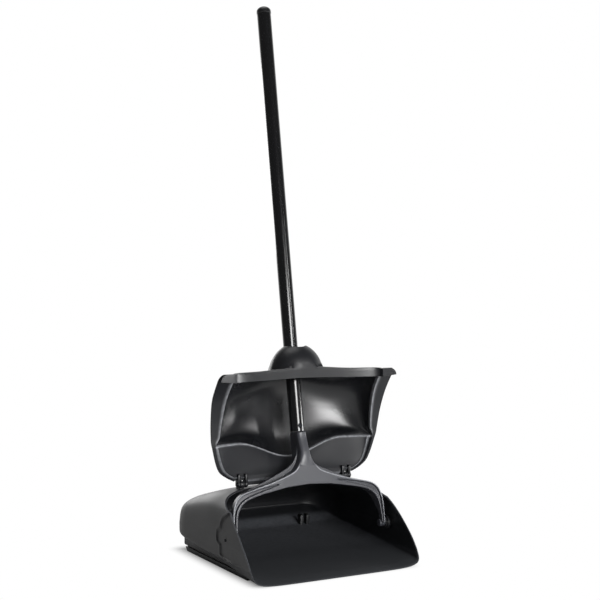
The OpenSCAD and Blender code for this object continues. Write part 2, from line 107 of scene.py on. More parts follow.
def catmull(points, t):  # a smooth curve through the points
    p = np.asarray(points, float)
    p = p[:, None] if p.ndim == 1 else p
    t = np.asarray(t, float)
    n = len(p) - 1
    i = np.minimum(np.floor(t).astype(int), n - 1)
    u = (t - i)[..., None]
    a, b, c, d = p[np.maximum(i - 1, 0)], p[i], p[i + 1], p[np.minimum(i + 2, n)]
    bend = (2 * a - 5 * b + 4 * c - d) * u ** 2 + (3 * b - a - 3 * c + d) * u ** 3
    out = (2 * b + (c - a) * u + bend) / 2
    return out[..., 0] if out.shape[-1] == 1 else out


def inFrame(points):  # millimetres from the pan's front edge to metres in the frame
    p = np.array(points, float).reshape(-1, 3)
    p[:, 1] -= halfLength
    return p * mm


def pieceFrom(name, points, faces, material=None, smooth=True):
    mesh = bpy.data.meshes.new(name)
    mesh.from_pydata([tuple(p) for p in points], [], [tuple(f) for f in faces])
    mesh.validate()
    mesh.update()
    piece = bpy.data.objects.new(name, mesh)
    scene.collection.objects.link(piece)
    if material:
        mesh.materials.append(material)
    if smooth:
        mesh.polygons.foreach_set("use_smooth", [True] * len(mesh.polygons))
    return piece


def gridFaces(rows, columns, first, wrap, turned):
    faces = []
    for j in range(rows - 1):
        for i in range(columns if wrap else columns - 1):
            a = first + j * columns + i
            b = first + j * columns + (i + 1) % columns
            quad = (a, b, b + columns, a + columns)
            faces.append(quad[::-1] if turned else quad)
    return faces


def endFaces(rows, columns):  # the two flat ends of a closed stack of rings
    last = (rows - 1) * columns
    return [tuple(range(columns))[::-1], tuple(range(last, last + columns))]


def dropMesh(mesh):
    if mesh.users == 0:
        bpy.data.meshes.remove(mesh)


def discard(piece):
    mesh = piece.data
    bpy.data.objects.remove(piece)
    dropMesh(mesh)


def settle(piece):  # bakes the modifiers into a plain mesh
    bpy.context.view_layer.update()
    graph = bpy.context.evaluated_depsgraph_get()
    ready = piece.evaluated_get(graph)
    mesh = bpy.data.meshes.new_from_object(ready, preserve_all_data_layers=True, depsgraph=graph)
    old = piece.data
    piece.modifiers.clear()
    piece.data = mesh
    dropMesh(old)
    return piece


def joined(name, pieces):
    graph = bmesh.new()
    for p in pieces:
        graph.from_mesh(p.data)
    mesh = bpy.data.meshes.new(name)
    graph.to_mesh(mesh)
    graph.free()
    for m in pieces[0].data.materials:
        mesh.materials.append(m)
    for p in pieces:
        discard(p)
    mesh.polygons.foreach_set("use_smooth", [True] * len(mesh.polygons))
    piece = bpy.data.objects.new(name, mesh)
    scene.collection.objects.link(piece)
    return piece


def outward(piece):  # merged doubles and faces that point out
    graph = bmesh.new()
    graph.from_mesh(piece.data)
    bmesh.ops.remove_doubles(graph, verts=graph.verts, dist=1e-6)
    bmesh.ops.recalc_face_normals(graph, faces=graph.faces)
    graph.to_mesh(piece.data)
    graph.free()
    return piece


def solid(name, points, faces, material=None):  # a closed piece from points in millimetres
    return outward(pieceFrom(name, inFrame(points), faces, material))


def creased(piece, degrees):  # smooth shading that stops at real edges
    piece.data.polygons.foreach_set("use_smooth", [True] * len(piece.data.polygons))
    piece.data.set_sharp_from_angle(angle=math.radians(degrees))
    return piece


def paint(piece, name, values):
    layer = piece.data.attributes.get(name) or piece.data.attributes.new(name, "FLOAT", "POINT")
    layer.data.foreach_set("value", np.asarray(values, np.float32))


def closest(points, source):  # for each point, the index of the nearest source point and the way to it
    tree = KDTree(len(source))
    for i, p in enumerate(source):
        tree.insert(p, i)
    tree.balance()
    found = [tree.find(p) for p in points]
    return np.array([f[1] for f in found]), np.array([f[2] for f in found])


easing = {"merge": 2e-6, "flat": 1.5, "corner": 35, "segments": 2, "crease": 40}


def softened(node, name, material, width):  # a copy of a solid with its edges eased
    mesh = nodes[node].data.copy()
    mesh.materials.clear()
    mesh.materials.append(material)
    piece = bpy.data.objects.new(name, mesh)
    scene.collection.objects.link(piece)
    graph = bmesh.new()
    graph.from_mesh(mesh)
    bmesh.ops.remove_doubles(graph, verts=graph.verts, dist=easing["merge"])
    flat = math.radians(easing["flat"])
    bmesh.ops.dissolve_limit(graph, angle_limit=flat, verts=graph.verts, edges=graph.edges)
    graph.to_mesh(mesh)
    graph.free()
    ease = piece.modifiers.new("ease", "BEVEL")
    ease.width = width * mm
    ease.segments = easing["segments"]
    ease.limit_method = "ANGLE"
    ease.angle_limit = math.radians(easing["corner"])
    settle(piece)
    return creased(piece, easing["crease"])


def finished(piece, body, slotName, *replaced):
    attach(piece, body)
    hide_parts(*replaced)
    print("piece", piece.name, len(piece.data.polygons), "faces")


# Materials

def blended(tree, factor, first, second):  # two colours, each a socket or a plain colour
    mix = add(tree, "ShaderNodeMix", {"Factor": factor}, data_type="RGBA")
    sockets = [s for s in mix.inputs if s.type == "RGBA"]
    for socket, colour in zip(sockets, (first, second)):
        if isinstance(colour, bpy.types.NodeSocket):
            tree.links.new(colour, socket)
        else:
            socket.default_value = colour
    return [s for s in mix.outputs if s.type == "RGBA"][0]


def surfaced(material, tree, values):  # every piece's material ends in one shader
    shader = add(tree, "ShaderNodeBsdfPrincipled", values)
    add(tree, "ShaderNodeOutputMaterial", {"Surface": shader.outputs["BSDF"]})
    return material


plastic = {  # what all moulded plastics share; sizes in millimetres, a range is to and from
    # the first range makes the painted light ragged at its edge
    "cloudSize": 45, "patchSize": 6, "paintedRag": (0.55, 1.0, 0.3, 0.6), "drift": (-0.02, 0.02, 0.3, 0.7),
    "pitDepth": 0.25, "shine": 0.5,
}


def moulded(name, dark, light, grained, paintedPale, rough, depth, grain, ior, shine=0.4):
    # injection moulded plastic: black and faintly cloudy, satin where the tool is polished,
    # grainy and a little paler where the tool is textured, with painted highlights and painted light
    # laid on in a pale colour where the mesh asks for them;
    # rough and depth are pairs, first for the polished and then for the textured surface
    material, tree, where = freshMaterial(name)
    cloud = noise(tree, where, plastic["cloudSize"], Detail=3.0)
    # the real grain is about 0.3 mm, drawn coarser here so that it shows
    pits = noise(tree, where, grain, Detail=2.0, Roughness=0.6)
    patchy = noise(tree, where, plastic["patchSize"], Detail=4.0)
    textured = add(tree, "ShaderNodeAttribute", attribute_name="textured").outputs["Fac"]
    # this attribute marks painted light: painted highlights on beads and edges, and a painted paler back
    # floor
    paintedLight = add(tree, "ShaderNodeAttribute", attribute_name="paintedLight").outputs["Fac"]
    colour = blended(tree, cloud, linear(dark), linear(light))
    colour = blended(tree, textured, colour, linear(grained))
    paintedShare = calc(tree, "MULTIPLY", paintedLight, ranged(tree, patchy, *plastic["paintedRag"]))  # painted light, ragged at its edge
    colour = blended(tree, paintedShare, colour, linear(paintedPale))
    drift = ranged(tree, cloud, *plastic["drift"])
    level = calc(tree, "ADD", ranged(tree, textured, *rough), drift)
    strength = ranged(tree, textured, *depth)
    bump = add(tree, "ShaderNodeBump", {
        "Height": pits, "Distance": plastic["pitDepth"] * mm, "Strength": strength})
    return surfaced(material, tree, {
        "Base Color": colour, "Roughness": level, "IOR": ior,
        "Specular IOR Level": ranged(tree, textured, plastic["shine"], shine),
        "Normal": bump.outputs["Normal"]})


panPlastic = moulded(  # satin black walls, a grained floor with painted light towards the back
    "mouldedPolypropyleneSatin", "#101113", "#16171a", "#26282b", "#5a5c61",
    rough=(0.42, 0.62), depth=(0.05, 0.3), grain=1.3, ior=1.46)
lidPlastic = moulded(  # polished inside with a painted highlight on the beads, grained apron
    "mouldedPolypropyleneGloss", "#0b0c0e", "#101114", "#15161a", "#b0b2b7",
    rough=(0.26, 0.5), depth=(0.0, 0.35), grain=1.3, ior=1.56, shine=0.17)
yokeNylon = moulded(  # greyer than the pan, fine grain, a painted highlight along the front edges
    "glassFilledNylon", "#303136", "#3a3b40", "#3a3b40", "#9a9ca1",
    rough=(0.37, 0.5), depth=(0.22, 0.22), grain=1.1, ior=1.54)
wearNylon = moulded(  # dull dark grey of skids, rollers and washers
    "hardNylonDull", "#151618", "#1f2022", "#1f2022", "#3a3b3e",
    rough=(0.5, 0.6), depth=(0.3, 0.3), grain=1.6, ior=1.53)
capPlastic = moulded(  # soft black cap, a little waxy
    "mouldedPolythene", "#0c0c0e", "#121214", "#121214", "#2a2a2d",
    rough=(0.32, 0.4), depth=(0.12, 0.2), grain=1.5, ior=1.51)


enamel = {
    "dark": "#060607", "light": "#0c0c0e", "peelSize": 6, "peelDepth": 0.02, "peelStrength": 0.03,
    "smearSize": 40, "rough": (0.12, 0.2), "ior": 1.52,
}


def enamelled():  # stoved black enamel on steel tube: deep gloss with a slight orange peel
    material, tree, where = freshMaterial("stovedEnamel")
    peel = noise(tree, where, enamel["peelSize"], Detail=1.0)
    smear = noise(tree, where, enamel["smearSize"], Detail=4.0)
    bump = add(tree, "ShaderNodeBump", {
        "Height": peel, "Distance": enamel["peelDepth"] * mm, "Strength": enamel["peelStrength"]})
    return surfaced(material, tree, {
        "Base Color": toned(tree, smear, enamel["dark"], enamel["light"]), "IOR": enamel["ior"],
        "Roughness": ranged(tree, smear, *enamel["rough"]), "Normal": bump.outputs["Normal"]})


bloomSize = 2.5  # of the dull spots in the plating, in millimetres


def platedSteel(name, dark, light, gloss, matte):  # wire pins and screws, a thin plating gone slightly dull
    material, tree, where = freshMaterial(name)
    bloom = noise(tree, where, bloomSize, Detail=4.0)
    return surfaced(material, tree, {
        "Base Color": toned(tree, bloom, dark, light), "Metallic": 1.0,
        "Roughness": ranged(tree, bloom, gloss, matte)})


tubeEnamel = enamelled()
zincSteel = platedSteel("zincPlatedSteel", "#6f7276", "#a3a6aa", 0.28, 0.5)
blackSteel = platedSteel("blackOxideSteel", "#17181a", "#26272a", 0.36, 0.55)
print("materials made")


# Pan

pan = {
    "width": 286.0, "length": 324.0, "height": 126.0, "wall": 3.0, "floorLift": 30.0, "sideBulge": 11.0,
    "rearTaper": -2.0, "tailRound": 70.0, "tailWidth": 48.0, "tailFloor": 22.0, "tailRoof": 34.0,
    "heelRound": 38.0, "rampStart": 276.0, "rampSlope": 0.5, "roofFront": 150.0, "roofDrop": 32.0,
    "bulgeShare": 0.36, "floorPower": 8.0, "roofPower": 5.0, "topTaper": 0.03, "cheekRun": 89.0,
    "cheekFoot": 6.0, "cheekHeight": 98.0, "cheekPower": 1.35, "browPower": 0.62, "lipRun": 25.0,
    "lipShare": 0.45, "crown": 1.0, "cornerSteps": 38, "cornerPower": 1.5, "wallRows": 130,
    "innerRows": 46, "tailRows": 16, "rimRound": 1.2, "rimShares": (0.15, 0.35, 0.5, 0.65, 0.85),
    "side": (132.0, 8.0), "panelDepth": 1.6, "panelBlend": 2.0, "panelBead": 0.5,
    "beadOut": 1.8, "beadWidth": 1.3, "skirtHeight": 25.0, "skirtInset": 2.2, "skirtBlend": 3.0,
    "skirtEnd": (300.0, 12.0), "crease": 50,
}
panPaint = {  # where the pan is grained, and where light is painted in: a highlight along the rim and cheeks, and the back of the floor paler; a pair is a limit and the run of its fading
    "floorFacing": (0.35, 0.3), "floorHigh": (16.0, 6.0), "floorHalf": 150.0, "skirtFacing": 0.3,
    "skirtTexture": 0.5, "rimReach": (4.2, 2.4), "rimLevel": 0.2, "cheekLevel": 0.5, "cheekLow": (8.0, 10.0),
    "cheekHigh": (112.0, 8.0), "paintedBackLevel": 0.4, "paintedBackRun": (60.0, 200.0),
}
hinge = {
    "x": 98.0, "y": 150.0, "z": 132.0, "knuckle": 11.0, "knuckleLength": 8.0, "earGap": 0.6, "ear": 4.0,
    "ease": 0.6, "webFront": 0.5, "webBack": 15.0, "webLow": 119.0, "webHigh": 129.0, "finFront": 7.5,
    "finBack": 13.0, "finRise": 6.0, "legFront": 4.5, "legBack": 7.5, "legRise": 17.0,
    "pin": (3.5, 1.5, 2.0, 9.2),
}
pivot = {
    "y": 98.0, "z": 56.0, "bossDiameter": 22.0, "bossIn": 145.6, "bossOut": 150.5, "pinOut": 152.4,
    "pinHead": 2.4, "pinHeadHeight": 1.6, "pinRadius": 2.3,
}
panelOutline = np.array([  # y and z round the recess in the cheek
    [60, 128], [88, 104], [95.5, 96.6], [109.8, 87.6], [114.4, 79.5], [115.2, 72.5], [125.9, 66.8],
    [126.7, 59.3], [124.1, 50.9], [113.4, 47.2], [112.7, 32], [104, 29], [55.3, 25.4], [19.9, 23.5],
    [4.4, 18.4], [-20, 8], [-30, 60]], float)


def insideDepth(points, outline):  # signed distance, positive inside the outline
    a = outline
    b = np.roll(outline, -1, axis=0)
    e = b - a
    w = points[:, None, :] - a[None]
    t = np.clip((w * e).sum(2) / (e * e).sum(1), 0, 1)
    near = np.sqrt(((w - t[..., None] * e) ** 2).sum(2)).min(1)
    crosses = (a[None, :, 1] > points[:, None, 1]) != (b[None, :, 1] > points[:, None, 1])
    with np.errstate(divide="ignore", invalid="ignore"):
        x = a[:, 0] + (points[:, None, 1] - a[:, 1]) * e[:, 0] / e[:, 1]
    inside = (crosses & (points[:, None, 0] < x)).sum(1) % 2 == 1
    return np.where(inside, near, -near)


def ringAngles(steps):  # closer together at the four corners
    t = np.arange(-steps, steps + 1) / steps
    quarter = 45 + 45 * np.sign(t) * np.abs(t) ** pan["cornerPower"]
    right = np.concatenate([quarter - 90, quarter[1:]])
    return np.radians(np.concatenate([right, 180 - right[-2:0:-1]]))


def tailCurve(y, start, last):
    s = np.clip((y - start) / (last - start), 0, 1)
    return 1 - np.sqrt(1 - s * s)


def panSection(a):
    power = np.where(np.sin(a) < 0, pan["floorPower"], pan["roofPower"])
    reach = (np.abs(np.cos(a)) ** power + np.abs(np.sin(a)) ** power) ** (-1 / power)
    return np.cos(a) * reach, np.sin(a) * reach


def panPoints(a, y, skin, last):
    p = pan
    h, k = panSection(a)
    t = tailCurve(y, p["length"] - p["tailRound"], last)
    wide = p["width"] / 2 + p["sideBulge"] - skin - p["rearTaper"] * y / p["length"] - p["tailWidth"] * t
    lip = p["lipShare"] + (1 - p["lipShare"]) * smoothStep(y / p["lipRun"])
    heel = p["tailFloor"] * tailCurve(y, p["length"] - p["heelRound"], last)
    ramp = p["rampSlope"] * np.maximum(y - p["rampStart"], 0) * (1 - t) * (skin > 0)  # behind the clips
    low = y * p["floorLift"] / p["length"] + skin * lip + heel + ramp
    drop = rising(y, p["roofFront"], p["length"] - p["roofFront"])
    high = p["height"] - p["roofDrop"] * drop - skin - p["tailRoof"] * t
    mid = low + p["bulgeShare"] * (high - low)
    z = np.where(k < 0, mid + (mid - low) * k, mid + (high - mid) * k)
    return np.stack([wide * h * (1 - p["topTaper"] * np.maximum(k, 0)), y, z], axis=-1)


def rimY(a):  # how far back the rim lies at each angle round the mouth
    p = pan
    h, k = panSection(a)
    mid = p["bulgeShare"] * p["height"]
    z = np.where(k < 0, mid * (1 + k), mid + (p["height"] - mid) * k)
    brow = (p["cheekHeight"] - mid) / (p["height"] - mid)
    up = np.clip((z - p["cheekFoot"]) / (p["cheekHeight"] - p["cheekFoot"]), 0, 1)
    cheek = p["cheekRun"] * up ** p["cheekPower"]
    over = np.clip((k - brow) / (1 - brow), 0, 1) ** p["browPower"]
    rise = p["cheekRun"] + (p["roofFront"] - p["cheekRun"]) * over
    return np.where(z < p["cheekFoot"], 0, np.where(z < p["cheekHeight"], cheek, rise))


def panRows(angles, rows, skin, last):
    tailStart = pan["length"] - pan["tailRound"]
    edge = rimY(angles) + pan["rimRound"]
    out = []
    for j in range(rows + 1):
        out.append(panPoints(angles, edge + (tailStart - edge) * j / rows, skin, last))
    for j in range(1, pan["tailRows"] + 1):
        y = tailStart + (last - tailStart) * math.sin(math.pi / 2 * j / pan["tailRows"])
        out.append(panPoints(angles, np.full_like(edge, y), skin, last))
    return np.array(out)


def shapeOutside(points):  # recessed cheek panel with a fine raised edge, and the set-in skirt under the side
    p = pan
    flat = points.reshape(-1, 3).copy()
    side = rising(np.abs(flat[:, 0]), *p["side"])
    depth = insideDepth(flat[:, 1:], panelOutline)
    inPanel = smoothStep(depth / p["panelBlend"] + 0.5)
    bead = np.exp(-((depth + p["beadOut"]) / p["beadWidth"]) ** 2) * p["panelBead"]
    skirt = smoothStep((p["skirtHeight"] - flat[:, 2]) / p["skirtBlend"] + 0.5)
    skirt = skirt * falling(flat[:, 1], *p["skirtEnd"])
    inset = (p["panelDepth"] * inPanel - bead) * (1 - skirt) + p["skirtInset"] * skirt
    flat[:, 0] -= np.sign(flat[:, 0]) * side * inset
    return flat.reshape(points.shape)


def makePanShell():
    angles = ringAngles(pan["cornerSteps"])
    n = len(angles)
    last = pan["length"] - pan["crown"]
    outer = shapeOutside(panRows(angles, pan["wallRows"], 0, last))
    inner = panRows(angles, pan["innerRows"], pan["wall"], last - pan["wall"])
    ahead = outer[0] - outer[1]
    ahead /= np.linalg.norm(ahead, axis=1)[:, None]
    bead = []
    for u in pan["rimShares"]:  # the rim is rounded over
        bead.append(outer[0] * (1 - u) + inner[0] * u + ahead * pan["rimRound"] * math.sin(math.pi * u))
    stack = np.concatenate([outer[::-1], np.array(bead), inner])
    rows = len(stack)
    backOut = [0, pan["length"], outer[-1][:, 2].mean()]
    backIn = [0, pan["length"] - pan["wall"], inner[-1][:, 2].mean()]
    faces = gridFaces(rows, n, 0, True, True)
    first = rows * n
    faces += [(i, first, (i + 1) % n) for i in range(n)]
    base = (rows - 1) * n
    faces += [(base + i, base + (i + 1) % n, first + 1) for i in range(n)]
    points = np.vstack([stack.reshape(-1, 3), backOut, backIn])
    return solid("panShell", points, faces, panPlastic)


def disc(radius, start, end, centre, ease=0.8, steps=48):  # a round boss along X with eased ends
    way = ease if end > start else -ease
    cut = 0.3  # share of the easing at the middle of the rounded corner
    profile = [(0, start), (radius - ease, start), (radius - ease * cut, start + way * cut),
               (radius, start + way), (radius, end - way), (radius - ease * cut, end - way * cut),
               (radius - ease, end), (0, end)]
    points = []
    for r, x in profile:
        for i in range(steps):
            a = 2 * math.pi * i / steps
            points.append((x, centre[0] + r * math.cos(a), centre[1] + r * math.sin(a)))
    return points, gridFaces(len(profile), steps, 0, True, False)


def block(low, high, ease=0.8):  # a box with eased edges
    graph = bmesh.new()
    bmesh.ops.create_cube(graph, size=1)
    size = [h - l for l, h in zip(low, high)]
    for v in graph.verts:
        v.co = Vector([(l + h) / 2 + c * s for l, h, c, s in zip(low, high, v.co, size)])
    bmesh.ops.bevel(graph, geom=graph.edges, offset=ease, segments=2, affect="EDGES", profile=0.5)
    points = [tuple(v.co) for v in graph.verts]
    faces = [[v.index for v in f.verts] for f in graph.faces]
    graph.free()
    return points, faces


def makePan():
    extras = []
    half = hinge["knuckleLength"] / 2
    y, z = hinge["y"], hinge["z"]
    for s in (-1, 1):
        x = s * hinge["x"]
        centre = (pivot["y"], pivot["z"])
        boss = disc(pivot["bossDiameter"] / 2, s * pivot["bossIn"], s * pivot["bossOut"], centre)
        knuckle = disc(hinge["knuckle"] / 2, x - half, x + half, (y, z), hinge["ease"])
        web = block((x - half, y - hinge["webFront"], hinge["webLow"]),
                    (x + half, y + hinge["webBack"], hinge["webHigh"]))
        fin = block((x - half, y + hinge["finFront"], hinge["webLow"]),
                    (x + half, y + hinge["finBack"], z + hinge["finRise"]))
        for form in (boss, knuckle, web, fin):
            extras.append(solid("panExtra", *form, panPlastic))
    whole = joined("panShell", [makePanShell()] + extras)
    p = panPaint
    co = np.array([v.co for v in whole.data.vertices]) / mm
    normal = np.array([v.normal for v in whole.data.vertices])
    y = co[:, 1] + halfLength
    above = co[:, 2] - y * pan["floorLift"] / pan["length"]
    onFloor = rising(normal[:, 2], *p["floorFacing"])
    onFloor = onFloor * falling(above, *p["floorHigh"])
    onFloor = onFloor * (np.abs(co[:, 0]) < p["floorHalf"])
    skirt = falling(co[:, 2], pan["skirtHeight"], pan["skirtBlend"])
    skirt = skirt * (normal[:, 2] < p["skirtFacing"]) * (np.abs(normal[:, 0]) > p["skirtFacing"])
    paint(whole, "textured", np.clip(onFloor + p["skirtTexture"] * skirt, 0, 1))
    angles = ringAngles(pan["cornerSteps"])
    rim = panPoints(angles, rimY(angles), pan["wall"] / 2, pan["length"])
    rim[:, 1] -= halfLength
    toRim = closest(co, rim)[1]
    cheek = rising(co[:, 2], *p["cheekLow"])
    cheek = cheek * falling(co[:, 2], *p["cheekHigh"])
    paintedBack = p["paintedBackLevel"] * onFloor * rising(y, *p["paintedBackRun"])  # painted light: the floor made paler towards the back, where the roof shades it
    # painted highlight along the rim's rounded edge, stronger on the cheeks
    paintedPale = falling(toRim, *p["rimReach"]) * (p["rimLevel"] + p["cheekLevel"] * cheek)
    paint(whole, "paintedLight", np.maximum(paintedPale, paintedBack))
    return whole


finished(creased(makePan(), pan["crease"]), "pan", "pan_plastic", "pan_shell")
print("pan made")


# Lid

lid = {
    "rise": 189.0, "wall": 2.5, "half": 148.0, "brim": 24.0, "brimTurn": -0.5, "lipDrop": 13.0,
    "lipLevel": 0.6, "lipFade": 0.2, "hoodPower": 2.5, "bellHalf": 100.0, "apronStep": 3.0,
    "apronBlend": 1.6, "stepRow": 2.0, "stepFrom": 1.8, "stepTo": 2.2, "lowRows": 40, "stepRows": 34,
    "highRows": 96, "columns": 132, "brimColumns": 9, "lipRows": 8, "cornerRound": 11.0, "cornerRows": 0.9,
    "cowlRadius": 34.0, "cowlHalf": 46.0, "cowlY": 146.0, "cowlZ": 321.0, "cowlFoot": 9.0, "cowlRise": 39.0,
    "cowlPower": 0.62, "cowlRow": 5.0, "slotHalf": 19.5, "slotFront": 131.0, "slotBack": 192.0,
    "slotLow": 297.0, "slotHigh": 372.0, "slotSteps": 24, "footDrop": 9.0, "footHalf": (92.0, 6.0),
    "footRows": 0.5, "footEdge": 1.0, "beadHeight": 1.5, "beadWidth": 1.5, "beadIn": 6.0,
    "beadBlend": 3.0, "borderIn": 8.0, "borderBead": 1.0, "edgingIn": 0.6, "edgingWidth": 1.3,
    "foldHeight": 1.2, "foldStart": 12.0, "foldIn": 700.0, "foldOut": 9.0, "hemRound": 0.7, "crease": 50,
}
lidPaint = {  # shares of grain, and how strong the painted highlight is on the beads, the edging and the fold
    "apron": 0.9, "apronBlend": 1.5, "brim": 0.5, "brimRun": 4.0, "lip": 0.65, "outside": 0.4, "ear": 0.4,
    "beadWidth": 1.6, "edging": 0.5, "fold": 0.4,
}
lidWidths = [0.745, 0.915, 1, 0.97, 0.955, 0.94, 0.926, 0.926]
lidSide = [[0.005, 0.037], [-0.011, 0.127], [-0.04, 0.339], [-0.05, 0.429],
           [-0.079, 0.587], [-0.138, 0.752], [-0.238, 0.898], [-0.307, 0.975]]
lidMiddle = [[0.011, 0.037], [0.053, 0.111], [0.106, 0.196], [0.196, 0.376],
             [0.243, 0.624], [0.233, 0.836], [0.116, 0.958], [-0.185, 1]]
brimShares = [0.18, 0.18, 0.24, 0.55, 0.75, 0.95, 1.05, 1.08]


def lidGrid():
    last = len(lidSide) - 1
    lower = np.linspace(0, lid["stepFrom"], lid["lowRows"])
    middle = np.linspace(lid["stepFrom"], lid["stepTo"], lid["stepRows"])[1:]
    rows = np.concatenate([lower, middle, np.linspace(lid["stepTo"], last, lid["highRows"])[1:]])
    t = np.concatenate([rows, np.full(lid["lipRows"], last)])
    drop = np.concatenate([np.zeros(len(rows)), np.linspace(0, 1, lid["lipRows"] + 1)[1:]])[:, None]
    edge = lid["brimColumns"]
    s = np.sin(np.pi * (np.arange(lid["columns"] + 1) / lid["columns"] - 0.5))
    beyond = np.linspace(0, 1, edge + 1)[1:]
    out = np.concatenate([-np.linspace(1, 0, edge + 1)[:-1], np.zeros(len(s)), beyond])
    s = np.concatenate([np.full(edge, -1), s, np.full(edge, 1)])
    wide = lid["half"] * catmull(lidWidths, t)[:, None]
    side = lid["rise"] * catmull(lidSide, t)[:, None]
    middle = lid["rise"] * catmull(lidMiddle, t)[:, None]
    deep = np.maximum(1 - np.abs(s) ** lid["hoodPower"], 0) ** (1 / lid["hoodPower"])
    bell = (1 + np.cos(np.pi * np.minimum(np.abs(s)[None] * wide / lid["bellHalf"], 1))) / 2
    turn = np.clip((t - last + lid["cornerRows"]) / lid["cornerRows"], 0, 1)[:, None] * (1 - drop)
    brim = lid["brim"] * catmull(brimShares, t)[:, None]
    brim = brim - lid["cornerRound"] * (1 - np.sqrt(1 - turn ** 2))  # round corner at the lip's end
    x = wide * s[None] + brim * out[None]
    y = hinge["y"] + side[..., 0] + (middle[..., 0] - side[..., 0]) * deep
    y = y - lid["brimTurn"] * np.abs(out)[None]
    arch = (middle[..., 1] - side[..., 1]) * bell
    lip = (lid["lipDrop"] + lid["lipLevel"] * arch) * drop  # its lower edge is nearly level
    lip = lip * (1 - lid["lipFade"] * np.abs(out)[None])
    foot = lid["footDrop"] * falling(np.abs(x), *lid["footHalf"])
    foot = foot * smoothStep(1 - t / lid["footRows"])[:, None]
    grid = np.stack([x, y, hinge["z"] + side[..., 1] + arch - lip - foot], axis=-1)
    normal = np.cross(np.gradient(grid, axis=1), np.gradient(grid, axis=0))
    normal /= np.maximum(np.linalg.norm(normal, axis=2), 1e-9)[..., None]
    reach = (wide + brim - np.abs(x)) * np.ones_like(x)  # distance in from the outer edge, across
    return grid, normal, t[:, None], s[None], np.abs(out)[None], drop, reach


def cowlLift(points, thin, foot):  # height of the cowl over the hood's top, with a soft foot
    across = points[..., 0] / (lid["cowlHalf"] - thin)
    along = (points[..., 1] - lid["cowlY"]) / (lid["cowlRadius"] - thin)
    u = 1 - across ** 2 - along ** 2
    dome = lid["cowlZ"] + (lid["cowlRise"] - thin) * np.maximum(u, 0) ** lid["cowlPower"] - points[..., 2]
    lift = np.where(u > 0, dome, -foot + np.maximum(u, -1) * foot)
    soft = np.where(lift > -foot, (lift + foot) ** 2 / (4 * foot), 0)
    return np.where(lift > foot, lift, soft)


def cutSlot(piece):  # the slot that the handle runs in
    half = lid["slotHalf"]
    outline = []
    for a in np.linspace(0, math.pi, lid["slotSteps"]):
        outline.append((half * math.cos(a), lid["slotFront"] + half - half * math.sin(a)))
    outline += [(-half, lid["slotBack"]), (half, lid["slotBack"])]
    n = len(outline)
    points = [(x, y, z) for z in (lid["slotLow"], lid["slotHigh"]) for x, y in outline]
    faces = endFaces(2, n) + gridFaces(2, n, 0, True, False)
    cutter = solid("slotCutter", points, faces)
    cut = piece.modifiers.new("slot", "BOOLEAN")
    cut.operation = "DIFFERENCE"
    cut.solver = "EXACT"
    cut.object = cutter
    settle(piece)
    discard(cutter)


